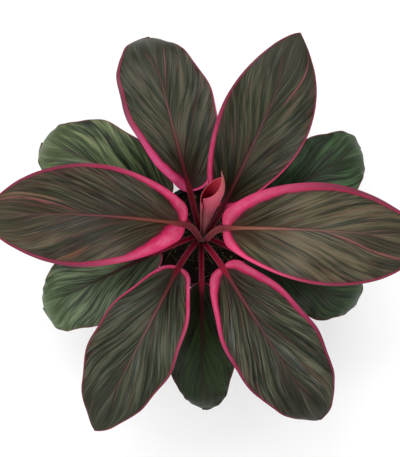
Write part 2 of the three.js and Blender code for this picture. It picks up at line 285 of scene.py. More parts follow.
def make_piece(
    name: str,
    bm: BMesh,
    material: Material,
    replaces: str | None = None,
) -> Object:
    """Makes a piece of the plant from a finished bmesh.

    Args:
        name: the piece's name.
        bm: its shape, in metres; it is freed.
        material: its finish.
        replaces: the CAD node it stands for, if any.

    Returns:
        The new object, riding on the root body.
    """
    mesh = mesh_of(name, bm)
    mesh.materials.append(material)
    piece = place_object(name, mesh)
    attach(piece, "root")
    if replaces:
        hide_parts(replaces)
    faces = sum(len(polygon.vertices) - 2 for polygon in mesh.polygons)
    LOG.info("%s: %d triangles", name, faces)
    return piece


class Piece(ABC):
    """A piece that takes the place of one CAD node."""

    name: str
    slot: Slot

    @abstractmethod
    def build(self) -> BMesh:
        """Shapes the piece, in metres."""

    @abstractmethod
    def material(self) -> Material:
        """Makes the piece's finish."""

    def dress(self) -> Object:
        """Builds the piece with its finish in place of its CAD node."""
        return make_piece(self.name + "_fine", self.build(), self.material(), self.name)


def round_off(bm: BMesh) -> None:
    """Turns the faces of a closed body outward and shades them smooth."""
    bmesh.ops.recalc_face_normals(bm, faces=bm.faces)
    if bm.calc_volume(signed=True) < 0:
        bmesh.ops.reverse_faces(bm, faces=bm.faces)
    for face in bm.faces:
        face.smooth = True


def close_sheet(bm: BMesh) -> tuple[list[BMVert], list[BMVert]]:
    """Doubles an open grid into a closed sheet with sharp rims.

    Args:
        bm: a grid in the XY plane.

    Returns:
        The vertices of its top and of its underside, which still lie on each other.
    """
    top = list(bm.verts)
    made = bmesh.ops.extrude_face_region(bm, geom=list(bm.faces))
    below = [item for item in made["geom"] if isinstance(item, BMVert)]
    kept = set(below)
    for edge in bm.edges:
        sides = {vert in kept for face in edge.link_faces for vert in face.verts}
        joins_both = (edge.verts[0] in kept) != (edge.verts[1] in kept)
        edge.smooth = len(sides) == 1 or joins_both
    return top, below


def shaped_sheet(
    columns: int, rows: int, names: Sequence[str], shape: Callable[..., Sequence[np.ndarray]]
) -> BMesh:
    """Bends a grid into a closed sheet.

    Args:
        columns: number of faces across.
        rows: number of faces along.
        names: names of the attributes that the finish reads.
        shape: takes the places across and along, from -1 to 1, and 0 for the first side or 1 for the
            second; it gives points in millimetres and one table of values for each attribute.

    Returns:
        The sheet as a bmesh in metres.
    """
    bm = bmesh.new()
    bmesh.ops.create_grid(bm, x_segments=columns, y_segments=rows, size=1.0)
    layers = [bm.verts.layers.float_vector.new(name) for name in names]
    for side, verts in enumerate(close_sheet(bm)):
        across, along = np.array([tuple(vert.co.xy) for vert in verts]).T
        points, *tables = shape(across, along, float(side))
        for index, vert in enumerate(verts):
            vert.co = points[index] * MM
            for layer, table in zip(layers, tables):
                vert[layer] = table[index]
    round_off(bm)
    return bm


@dataclass(frozen=True)
class HalfBlade:
    """One half of a blade: its half width, the roundness of its base and tip, and its coloured margin.

    The margin's width in millimetres stands at six places along the blade.
    """

    width: float
    base: float
    tip: float
    band: tuple[float, ...] = (1.6, 1.6, 1.4, 1.1, 0.9, 0.8)


@dataclass(frozen=True)
class LeafForm:
    """Shape of a leaf in millimetres and degrees, from its foot on the stem to its tip."""

    node: float
    seat: float
    heading: tuple[float, float, float]
    rise: tuple[float, float, float, float]
    petiole: float
    blade: float
    left: HalfBlade
    right: HalfBlade
    reach: float = 8.2
    curl: float = 1.5
    stalk: float = 3.8
    ruffle: tuple[float, float, float] = (0.0, 0.0, 0.0)

    STEPS = 240
    HEEL = 3.0
    HEEL_LENGTH = 24.0
    PETIOLE_ARC = 75.0
    MERGE = 0.12
    CREASE = (35.0, 14.0, 10.0)
    ARC = (25.0, -10.0, -25.0)
    LEAST_ARC = 0.01
    PETIOLE_TURN = 2.5
    SHORTEST_HALF_WIDTH = 0.5
    RUFFLE_SHIFT = 0.31
    RUFFLE_ONSET = 4.0
    RUFFLE_END = 6.0
    WAVE_COUNT = 3.0
    WAVE_SHIFT = 0.37
    WAVE_HEIGHT = 2.0
    WAVE_REACH = 2.5
    WAVE_ONSET = 3.0

    def direction(self, length: np.ndarray) -> tuple[np.ndarray, np.ndarray]:
        """Elevation and azimuth of the centreline at lengths from the foot, in radians."""
        foot, base, middle, tip = self.rise
        start, out, end = self.heading
        stalk = np.clip(length / self.petiole, 0.0, 1.0)
        share = np.clip((length - self.petiole) / self.blade, 0.0, 1.0)
        outer = middle + (tip - middle) * np.clip(share * 2 - 1, 0.0, 1.0) ** self.curl
        blade = np.where(share < 0.5, between(base, middle, share * 2), outer)
        on_stalk = length < self.petiole
        elevation = np.where(on_stalk, between(foot, base, stalk), blade)
        turned_out = between(start, out, stalk**self.PETIOLE_TURN)
        azimuth = np.where(on_stalk, turned_out, between(out, end, share))
        return np.radians(elevation), np.radians(azimuth)

    def stations(self, length: np.ndarray) -> tuple[np.ndarray, np.ndarray, np.ndarray]:
        """Centreline at lengths from the foot.

        Args:
            length: lengths in millimetres.

        Returns:
            Points, directions across and directions up, one row each.
        """
        steps = np.linspace(0.0, self.petiole + self.blade, self.STEPS + 1)
        elevation, azimuth = self.direction(steps)
        level = np.cos(elevation)
        along = np.stack([level * np.cos(azimuth), level * np.sin(azimuth), np.sin(elevation)], -1)
        across = np.stack([-np.sin(azimuth), np.cos(azimuth), np.zeros_like(azimuth)], -1)
        up = np.cross(along, across)
        seat = math.radians(self.seat)
        height = SOIL_HEIGHT + self.node
        foot = np.array([self.reach * math.cos(seat), self.reach * math.sin(seat), height])
        moves = (along[1:] + along[:-1]) / 2 * steps[1]
        points = foot + np.concatenate([np.zeros((1, 3)), np.cumsum(moves, 0)])
        found = []
        for table in (points, across, up):
            found.append(np.stack([np.interp(length, steps, column) for column in table.T], -1))
        point, sideways, upward = found
        return point, unit(sideways), unit(upward)

    def half_width(self, length: np.ndarray, across: np.ndarray) -> np.ndarray:
        """Half width at lengths from the foot, on the side that across is on."""
        share = np.clip((length - self.petiole) / self.blade, 0.0, 1.0)
        count, depth, phase = self.ruffle
        fade = np.minimum(1.0, self.RUFFLE_ONSET * share) * np.minimum(1.0, self.RUFFLE_END * (1 - share))
        widths = []
        for half, shift in ((self.left, self.RUFFLE_SHIFT), (self.right, 0.0)):
            peak = half.base / (half.base + half.tip)
            outline = half.width * (share / peak) ** half.base * ((1 - share) / (1 - peak)) ** half.tip
            outline = outline + depth * np.sin(math.tau * (count * share + phase + shift)) * fade
            width = np.hypot(self.stalk * (1 - share) ** 2, outline)
            widths.append(np.maximum(width, self.SHORTEST_HALF_WIDTH))
        blade = np.where(across > 0, *widths)
        stalk = between(self.HEEL, self.stalk, np.minimum(1.0, length / self.HEEL_LENGTH))
        return np.where(length < self.petiole, stalk, blade)

    def bend(self, share: np.ndarray) -> tuple[np.ndarray, np.ndarray]:
        """Slope at the midrib and the turn from there to the margin, in radians."""
        out = np.maximum(0.0, (share - self.MERGE) / (1 - self.MERGE))
        merge = np.clip(share / self.MERGE, 0.0, 1.0)
        crease = through_three(self.CREASE, out) * merge
        arc = between(self.PETIOLE_ARC, through_three(self.ARC, out), merge)
        arc = np.where(np.abs(arc) < self.LEAST_ARC, self.LEAST_ARC, arc)
        return np.radians(crease), np.radians(arc)

    def wave(self, share: np.ndarray, across: np.ndarray) -> tuple[np.ndarray, np.ndarray]:
        """Phase of the waves that run along each half, and their height in millimetres."""
        turn = self.WAVE_COUNT * share + np.where(across > 0, self.WAVE_SHIFT, 0.0)
        fade = np.minimum(1.0, self.WAVE_ONSET * np.maximum(share, 0.0))
        height = self.WAVE_HEIGHT * np.sin(math.tau * turn) * np.abs(across) ** self.WAVE_REACH * fade
        return turn, height


@dataclass(frozen=True)
class Mark:
    """A coloured streak that follows the veins on one half of a blade."""

    side: int
    phase: float
    half_width: float
    start: float
    stop: float
    shade: str
    strength: float


@dataclass(frozen=True)
class LeafFinish:
    """Colours of a leaf, as six-figure screen colours, and how lively its skin is, with the strength of its
    painted sheen.
    """

    dark: str
    middle: str
    light: str
    base: str
    tip: str
    margin: str
    margin_tip: str
    rib: str
    rib_tip: str
    stalk: str
    stalk_edge: str
    under: str
    seed: float
    warm: float = 0.2
    # Strength of the painted sheen: grey-green reflected light painted into the skin's colour.
    painted_sheen: float = 0.35
    ruddy: float = 0.4
    marks: tuple[Mark, ...] = ()

    SWEEP = 0.55
    CURVE = 0.75
    RUST = "5a3a34"
    OLIVE = "26331c"
    CHESTNUT = "4a261d"
    # Grey-green of the painted sheen.
    PAINTED_SHEEN_SHADE = "6b7069"
    WINE = "4c1d24"
    DEEP_WINE = "45141f"
    PAINTED_RIB_SHADE = "3f0f1a"
    ROSE = "e87898"
    CARMINE = "a3123f"
    DARK_CARMINE = "8c1136"
    PETIOLE_UNDER = "4a1220"
    # Near-black crimson: painted shade at the floor of the stalk's channel, and random darker streaks.
    CHANNEL_SHADE_AND_STREAKS = "2a0410"

    def material(self, name: str) -> Material:
        """Leaf skin: strokes along the veins, a coloured margin and midrib, and a channelled stalk.

        Args:
            name: the material's name.

        Returns:
            The material.
        """
        tree = Tree(name)
        across, share, under = tree.attribute("place")
        rib, band, edge = tree.attribute("spread")
        reach = abs(across)
        side = across.above(0.0)
        spot = tree.place()
        wander = tree.noise(spot, 24.0)
        phase = share - self.SWEEP * reach**self.CURVE + (wander - 0.5) * 0.03
        turn = side * 4.3 + self.seed
        broad = tree.grain(phase * 11.0, reach * 1.3, turn)
        strokes = tree.grain(phase * 42.0, reach * 2.6, turn + 9.0, detail=3.0, rough=0.62)
        veins = tree.grain(phase * 118.0, reach * 4.0, turn + 17.0)
        patches = tree.noise(spot, 11.0)
        tone = 0.5 + (broad - 0.5) * 1.5 + (strokes - 0.5) * 1.8 + (veins - 0.5) * 1.1 + (patches - 0.5) * 0.8
        skin = tree.ramp(tone, [(0.1, self.dark), (0.5, self.middle), (0.92, self.light)])
        hue = tree.grain(phase * 27.0, reach * 3.0, turn + 43.0)
        skin = skin.towards(self.RUST, hue.smooth(0.52, 0.72) * self.ruddy)
        skin = skin.towards(self.OLIVE, hue.smooth(0.48, 0.25) * (self.ruddy + 0.15))
        cloud = tree.noise(spot, 17.0, 3.0, 0.6).smooth(0.42, 0.72)
        skin = skin.towards(self.CHESTNUT, cloud * strokes.smooth(0.35, 0.7) * self.warm)
        skin = skin.towards(self.base, share.smooth(0.34, 0.02) * reach.smooth(0.85, 0.15) * 0.75)
        skin = skin.towards(self.tip, share.smooth(0.6, 1.0) * 0.5)
        # Painted sheen: streaks of grey-green reflected light painted into the skin along the veins.
        painted_sheen_mask = tree.grain(phase * 7.0, reach * 1.6, turn + 31.0).smooth(0.5, 0.72)
        skin = skin.towards(self.PAINTED_SHEEN_SHADE, painted_sheen_mask * veins.smooth(0.42, 0.7) * self.painted_sheen)
        for mark in self.marks:
            skin = self._streak(skin, mark, phase, reach, side, strokes)
        skin = skin.towards(self.WINE, edge.smooth(9.0, 0.0) * share.smooth(1.0, 0.55) * self.warm * 1.3)
        skin = self._margin(skin, share, band, turn, strokes)
        skin = self._midrib(skin, share, rib, strokes)
        skin = self._stalk(skin, share, reach, strokes)
        dull = tree.mix(self.under, self.middle, strokes * 0.5)
        dull = dull.towards(self.stalk_edge, rib.smooth(2.6, 0.8) * 0.5)
        dull = dull.towards(self.PETIOLE_UNDER, share.smooth(0.06, -0.03) * 0.9)
        skin = skin.towards(dull, under * (0.35 + 0.55 * band.smooth(0.6, 1.2)))
        rough = 0.44 + (broad - 0.5) * 0.3 + (strokes - 0.5) * 0.2 + under * 0.15
        normal = tree.bump(strokes * 0.65 + veins * 0.35, 0.0005, 0.9)
        return tree.finish(skin, rough, normal, IOR=1.42, Specular_IOR_Level=0.22)

    def _streak(self, skin: Wire, mark: Mark, phase: Wire, reach: Wire, side: Wire, strokes: Wire) -> Wire:
        """Lays one coloured streak over the skin."""
        line = abs(phase - mark.phase).smooth(mark.half_width * 1.5, mark.half_width * 0.2)
        inner = reach.smooth(mark.start - 0.06, mark.start + 0.1)
        window = inner * reach.smooth(mark.stop + 0.12, mark.stop - 0.1)
        half = side if mark.side > 0 else 1.0 - side
        return skin.towards(mark.shade, line * window * half * mark.strength * strokes.smooth(0.25, 0.62))

    def _midrib(self, skin: Wire, share: Wire, rib: Wire, strokes: Wire) -> Wire:
        """Lays the midrib over the skin, between two darker lines of painted shade."""
        width = 2.2 - 1.8 * share.smooth(0.0, 0.7) + 1.1 * share.smooth(0.09, -0.01)
        # Painted shade: the blade darkens beside the midrib on both sides, as if its groove were in shadow.
        dark = (rib - width).smooth(1.7, 0.0) * share.smooth(0.9, 0.2)
        skin = skin.towards(self.PAINTED_RIB_SHADE, dark * 0.6)
        shade = skin.tree.mix(self.rib, self.rib_tip, share.smooth(0.1, 0.45))
        shade = shade.towards(self.stalk, share.smooth(0.12, 0.0))
        line = (rib - width).smooth(0.6, -0.7)
        return skin.towards(shade, line * share.smooth(0.98, 0.5) * (0.7 + strokes * 0.4))

    def _margin(self, skin: Wire, share: Wire, band: Wire, turn: Wire, strokes: Wire) -> Wire:
        """Lays the coloured margin over the skin: pale in its middle, crimson along both of its sides."""
        along = skin.tree.grain(share * 26.0, band * 2.6, turn + 5.0, detail=3.0, rough=0.6)
        shade = skin.tree.mix(self.margin, self.margin_tip, share.smooth(0.06, 0.62))
        pale = band.smooth(0.02, 0.3) * band.smooth(0.95, 0.5) * share.smooth(0.5, 0.08)
        shade = shade.towards(self.ROSE, pale * (0.15 + along.smooth(0.35, 0.7) * 0.5))
        shade = shade.towards(self.CARMINE, band.smooth(0.55, 1.05) * 0.7)
        shade = shade.towards(self.DARK_CARMINE, along.smooth(0.55, 0.8) * 0.4)
        border = band + (strokes - 0.5) * 0.3 + (along - 0.5) * 0.35
        skin = skin.towards(self.DEEP_WINE, border.smooth(1.4, 1.0) * 0.75)
        return skin.towards(shade, border.smooth(1.12, 0.9))

    def _stalk(self, skin: Wire, share: Wire, reach: Wire, strokes: Wire) -> Wire:
        """Lays the stalk's channel, darker towards its floor as painted shade, and its thin paler edges over
        the skin.
        """
        # Painted shade towards the channel's floor, with random darker streaks.
        shade = skin.tree.mix(self.stalk, self.CHANNEL_SHADE_AND_STREAKS, reach.smooth(0.4, 0.0) * 0.15 + strokes * 0.15)
        shade = shade.towards(self.stalk_edge, reach.smooth(0.84, 0.94) * 0.9)
        return skin.towards(shade, share.smooth(0.01, -0.02))


@dataclass
class Leaf(Piece):
    """A leaf: a channelled petiole that opens into a veined, pleated blade."""

    name: str
    form: LeafForm
    finish: LeafFinish
    slot: Slot
    columns: int = 56
    rows: int = 150
    stalk_rows: float = 0.14
    rib_half_width: float = 2.6
    edge_thickness: float = 0.5
    rib_thickness: float = 2.6
    pleat: float = 0.22
    groove: float = 0.45
    ripple: float = 0.3

    BAND_PLACES = (0.0, 0.1, 0.2, 0.35, 0.6, 1.0)
    BOX_MARGIN = 0.05
    RIPPLE_COUNT = 3.7
    TIP_RIB_THICKNESS = 0.7
    RIB_FADE = 0.6
    RIB_FLARE = 1.4
    FOLDS = ((0.6, 11.0, 1.0), (0.4, 18.7, 1.7))

    def build(self) -> BMesh:
        """Shapes the leaf from a grid and gives it the attributes that its finish reads."""
        return shaped_sheet(self.columns, self.rows, ("place", "spread"), self._shape)

    def _shape(self, column: np.ndarray, row: np.ndarray, under: float) -> tuple[np.ndarray, ...]:
        """Points and attributes of the leaf's upper side or underside."""
        across, length = self._spaced(column, row)
        points, spaces = self._surface(length, across, under)
        share = (length - self.form.petiole) / self.form.blade
        return points, np.stack([across, share, np.full_like(share, under)], -1), spaces

    def _spaced(self, column: np.ndarray, row: np.ndarray) -> tuple[np.ndarray, np.ndarray]:
        """Across and length of grid places, closer together at the midrib, the margin and the tip."""
        size = np.abs(column)
        across = np.sign(column) * (0.55 * size**1.25 + 0.45 * (1 - np.cos(np.pi * size)) / 2)
        share = (row + 1) / 2
        stalk = np.minimum(share / self.stalk_rows, 1.0)
        blade = np.maximum((share - self.stalk_rows) / (1 - self.stalk_rows), 0.0)
        blade = between(blade, (1 - np.cos(np.pi * blade)) / 2, 0.7)
        return across, stalk * self.form.petiole + blade * self.form.blade

    def _surface(self, length: np.ndarray, across: np.ndarray, under: float) -> tuple[np.ndarray, np.ndarray]:
        """Points of the leaf's upper side or underside.

        Args:
            length: lengths from the foot, in millimetres.
            across: places across, from -1 at the right margin to 1 at the left.
            under: 1 for the underside, 0 for the upper side.

        Returns:
            Points, and for each one its distance from the midrib, its distance from the margin in
            widths of the coloured band, and that distance in millimetres.
        """
        form = self.form
        point, sideways, up = form.stations(length)
        share = (length - form.petiole) / form.blade
        width = form.half_width(length, across)
        crease, arc = form.bend(share)
        reach = np.abs(across)
        slope = crease + arc * reach
        out = width * (np.sin(slope) - np.sin(crease)) / arc
        rise = width * (np.cos(crease) - np.cos(slope)) / arc
        turn, wave = form.wave(share, across)
        fine = np.sin(math.tau * (self.RIPPLE_COUNT * turn + self.finish.seed)) * smooth(share, 0.3, 0.6)
        rise = rise + wave + self.ripple * fine * reach**5 + self._relief(share, across, width)
        lean = slope * smooth(reach * width, 0.2, self.rib_half_width)
        outward = np.sign(across)
        normal = up * np.cos(lean)[:, None] - sideways * (np.sin(lean) * outward)[:, None]
        thickness = under * self._thickness(share, reach * width)
        points = point + sideways * (out * outward)[:, None] + up * rise[:, None]
        points = points - normal * thickness[:, None]
        bands = [np.interp(share, self.BAND_PLACES, half.band) for half in (form.left, form.right)]
        band_width = np.where(across > 0, *bands)
        edge = (1 - reach) * width
        low, high = (np.array(corner) / MM for corner in CAD_BOX)
        points = np.clip(points, low + self.BOX_MARGIN, high - self.BOX_MARGIN)
        bands_in = np.where(share < 0, 1 + edge, edge / band_width)
        return points, np.stack([reach * width, bands_in, edge], -1)

    def _relief(self, share: np.ndarray, across: np.ndarray, width: np.ndarray) -> np.ndarray:
        """Pleats along the veins and the groove over the midrib, in millimetres."""
        reach = np.abs(across)
        rib = reach * width
        edge = (1 - reach) * width
        phase = share - self.finish.SWEEP * reach**self.finish.CURVE
        turn = self.finish.seed + np.where(across > 0, 0.4, 0.0)
        folds = np.zeros_like(share)
        for size, count, shift in self.FOLDS:
            folds = folds + size * np.sin(math.tau * (count * phase + shift * turn))
        window = smooth(rib, 2, 10) * smooth(edge, 0.5, 8) * smooth(share, 0.03, 0.16)
        window = window * smooth(1 - share, 0.02, 0.2)
        groove = self.groove * np.exp(-((rib / 1.5) ** 2)) * smooth(share, -0.02, 0.05)
        groove = groove * smooth(1 - share, 0.0, 0.6)
        return self.pleat * folds * window - groove

    def _thickness(self, share: np.ndarray, rib: np.ndarray) -> np.ndarray:
        """Thickness that falls from the midrib to an even blade, in millimetres."""
        middle = between(self.rib_thickness, self.TIP_RIB_THICKNESS, np.maximum(share, 0.0) ** self.RIB_FADE)
        near = smooth(rib, self.rib_half_width * self.RIB_FLARE, 0.0)
        return between(self.edge_thickness, middle, near)

    def material(self) -> Material:
        """The leaf's own skin."""
        return self.finish.material(self.name + "_skin")


@dataclass
class Spear(Piece):
    """The youngest leaf, still rolled round its own axis, with an open mouth."""

    foot: tuple[float, float, float] = (0.4, 3.4, SOIL_HEIGHT + STEM_HEIGHT + 1.6)
    tip: tuple[float, float, float] = (17.6, 63.4, 273.0)
    thickness: float = 0.7
    foot_radius: float = 2.6
    radius: float = 11.0
    bow: float = 1.8
    wrap: float = 205.0
    spiral: float = 0.14
    midrib_turn: float = -60.0
    opening: float = 0.56
    taper_start: float = 0.68
    columns: int = 150
    rows: int = 110

    name = "spear"
    slot = Slot.YOUNG_LEAF

    SWELL = (-0.1, 0.8)
    BLUNTNESS = 1.1
    LEAST_RADIUS = 0.12
    LEAST_WRAP = 0.02
    EDGE_FALL = (0.4, 1.0)
    INSET = 0.1
    BODY = (
        (0.0, "46161c"), (0.22, "74323a"), (0.42, "8a3a46"), (0.56, "b84860"),
        (0.72, "cc5c6e"), (0.88, "c2666a"), (0.97, "b46a68"), (1.0, "5c4034"),
    )
    # Inner face: its own pink, painted deep crimson low in the roll as painted shade and lighter towards the
    # mouth as painted light.
    INSIDE_WITH_PAINTED_SHADE = ((0.4, "840e28"), (0.62, "b02c42"), (0.76, "c64652"), (0.88, "d4666c"), (1.0, "a87068"))

    def build(self) -> BMesh:
        """Winds a grid round the leaning axis and closes it into a sheet."""
        return shaped_sheet(self.columns, self.rows, ("place",), self._shape)

    def _shape(self, across: np.ndarray, along: np.ndarray, outside: float) -> tuple[np.ndarray, ...]:
        """Points and attribute of the sheet's inner or outer face."""
        share = (along + 1) / 2
        points, turn = self._surface(share, across, outside)
        return points, np.stack([turn / self.wrap, share, np.full_like(share, outside)], -1)

    def _surface(
        self, share: np.ndarray, across: np.ndarray, outside: float
    ) -> tuple[np.ndarray, np.ndarray]:
        """Points of the rolled sheet.

        Args:
            share: places along the axis, from 0 at the foot to 1 at the point.
            across: places across the sheet, from -1 at its inner edge to 1 at its outer one.
            outside: 1 for the outer face, 0 for the inner one.

        Returns:
            Points in millimetres, and their turns from the midrib in degrees before the roll opens.
        """
        foot = np.array(self.foot)
        reach = np.array(self.tip) - foot
        axis = unit(reach)
        sideways = unit(np.cross((0.0, 0.0, 1.0), axis))
        back = -np.cross(axis, sideways)
        swell = smooth(share, *self.SWELL)
        taper = np.maximum(0.0, share - self.taper_start) / (1 - self.taper_start)
        narrow = np.maximum(np.cos(np.pi * taper / 2), 0.0) ** self.BLUNTNESS
        radius = between(self.foot_radius, self.radius, swell) * np.maximum(self.LEAST_RADIUS, narrow)
        opened = np.maximum(0.0, share - self.opening) / (1 - self.opening)
        turn = self.wrap * across
        closing = np.maximum(self.LEAST_WRAP, 1 - opened ** np.where(across > 0, *self.EDGE_FALL))
        angle = np.radians(turn * closing + self.midrib_turn)
        spread = radius * (1 + self.spiral * across)
        spread = spread - (1 - outside) * self.thickness - self.INSET * outside
        ray = back * np.cos(angle)[:, None] + sideways * np.sin(angle)[:, None]
        bow = np.outer(np.sin(np.pi * share), (-self.bow, 0.0, 0.0))
        return foot + reach * share[:, None] + bow + ray * spread[:, None], turn

    def material(self) -> Material:
        """Pink skin with fine lengthwise lines, brown at the foot, coral at the point and pink inside, with
        painted shade deep in the roll.
        """
        tree = Tree("spear_skin")
        across, share, outside = tree.attribute("place")
        wander = tree.noise(tree.place(), 40.0)
        lines = tree.grain((across + (wander - 0.5) * 0.06) * 34.0, share * 3.0, 0.0, detail=3.0, rough=0.6)
        broad = tree.grain(across * 7.0, share * 1.6, 3.0)
        skin = tree.ramp(share + (broad - 0.5) * 0.12, self.BODY)
        skin = skin.towards("9a6058", broad.smooth(0.5, 0.75) * share.smooth(0.5, 0.3) * 0.6)
        skin = skin.towards("5a1c26", lines.smooth(0.55, 0.35) * share.smooth(0.75, 0.35) * 0.6)
        skin = skin.towards("e08a92", lines.smooth(0.55, 0.8) * share.smooth(0.45, 0.7) * 0.5)
        # Painted shade and light inside the roll: darker towards the foot, lighter towards the mouth, on the
        # inner face's own pink.
        inside_with_shade = tree.ramp(share + (lines - 0.5) * 0.1, self.INSIDE_WITH_PAINTED_SHADE)
        skin = skin.towards(inside_with_shade, (1.0 - outside) * 0.95)
        rough = 0.5 + (lines - 0.5) * 0.2
        return tree.finish(skin, rough, tree.bump(lines, 0.0003, 0.8), IOR=1.42, Specular_IOR_Level=0.35)


def turned(profile: Sequence[tuple[float, float]], sides: int) -> BMesh:
    """A closed round body about Z.

    Args:
        profile: (radius, height) points in millimetres that start and end on the axis.
        sides: number of sides.

    Returns:
        The body as a bmesh in metres.
    """
    bm = bmesh.new()
    verts = [bm.verts.new((radius * MM, 0.0, height * MM)) for radius, height in profile]
    edges = [bm.edges.new(pair) for pair in zip(verts, verts[1:])]
    around = {"cent": (0, 0, 0), "axis": (0, 0, 1), "angle": math.tau}
    bmesh.ops.spin(bm, geom=verts + edges, steps=sides, use_merge=True, **around)
    bmesh.ops.remove_doubles(bm, verts=bm.verts, dist=1e-6)
    bmesh.ops.dissolve_degenerate(bm, dist=1e-7, edges=bm.edges)
    round_off(bm)
    return bm


@dataclass
class NurseryPot(Piece):
    """A thin moulded pot with a stepped rim and drain holes."""

    height: float = 108.0
    wall: float = 1.6
    base: float = 41.0
    rim: float = 57.5
    rim_depth: float = 10.0
    rim_step: float = 2.4
    drains: int = 6
    drain_radius: float = 4.5
    drain_circle: float = 31.0
    sides: int = 144

    name = "pot"
    slot = Slot.POT

    SHARP_ANGLE = 32.0
    RIM_EDGE = ((0.0, 3.2), (0.2, 3.0), (0.0, 2.8), (0.0, 0.8), (0.25, 0.2), (0.4, 0.0))

    def profile(self) -> list[tuple[float, float]]:
        """Section of the pot from the axis, round the rim and back to the axis."""
        below = self.height - self.rim_depth
        wall_top = self.rim - self.rim_step
        points = [(0.0, 0.0), (self.base - 2.0, 0.0), (self.base - 0.6, 0.6), (self.base, 2.0)]
        for share in (0.04, 0.045, 0.05, 0.3, 0.5, 0.7, 0.9):
            ring = 0.35 if share == 0.045 else 0.0
            points.append((between(self.base, wall_top - 0.4, share) - ring, between(2.0, below, share)))
        points += [(wall_top - 0.4, below), (self.rim - 0.4, below + 0.4), (self.rim, below + 0.8)]
        points += [(self.rim - inset, self.height - drop) for inset, drop in self.RIM_EDGE]
        points += [(self.rim - self.wall + 0.3, self.height)]
        points += [(self.rim - self.wall, self.height - 0.3), (self.rim - self.wall, below + self.wall)]
        points += [(wall_top - self.wall - 0.4, below), (self.base - self.wall, 2.0 + self.wall)]
        return points + [(0.0, 2.0 + self.wall)]

    def build(self) -> BMesh:
        """Turns the pot's section round the axis."""
        return turned(self.profile(), self.sides)

    def _cutters(self) -> Object:
        """Round bars where the drain holes go."""
        bm = bmesh.new()
        radius = self.drain_radius * MM
        for count in range(self.drains):
            turn = math.tau * (count + 0.5) / self.drains
            spot = Vector((self.drain_circle * math.cos(turn), self.drain_circle * math.sin(turn), 0.0)) * MM
            size = {"segments": 32, "radius1": radius, "radius2": radius, "depth": 0.02}
            bmesh.ops.create_cone(bm, cap_ends=True, matrix=Matrix.Translation(spot), **size)
        return place_object("drain_cutters", mesh_of("drain_cutters", bm))

    def dress(self) -> Object:
        """Builds the pot with its finish and cuts its drain holes."""
        piece = super().dress()
        cutters = self._cutters()
        cut = piece.modifiers.new("drains", "BOOLEAN")
        cut.operation = "DIFFERENCE"
        cut.solver = "EXACT"
        cut.object = cutters
        graph = bpy.context.evaluated_depsgraph_get()
        done = bpy.data.meshes.new_from_object(piece.evaluated_get(graph))
        piece.modifiers.clear()
        piece.data = done
        bpy.data.objects.remove(cutters)
        done.set_sharp_from_angle(angle=math.radians(self.SHARP_ANGLE))
        return piece

    def material(self) -> Material:
        """Satin black plastic with fine drawn lines, scuffs and a little dust in patches."""
        tree = Tree("pot_plastic")
        spot = tree.place()
        x, y, z = tree.parts(spot)
        grain = tree.noise(spot, 900.0, 3.0, 0.6)
        scuffs = tree.grain(x * 60.0, y * 60.0, z * 700.0, detail=3.0, rough=0.6)
        dust = tree.noise(spot, 45.0, 4.0, 0.65).smooth(0.5, 0.8)
        base = tree.mix("161617", "232324", grain).towards("4a443c", dust * 0.22)
        rough = 0.42 + grain * 0.12 + scuffs * 0.1 + dust * 0.15
        return tree.finish(base, rough, tree.bump(scuffs * 0.6 + grain * 0.4, 0.0001, 0.6), IOR=1.48)


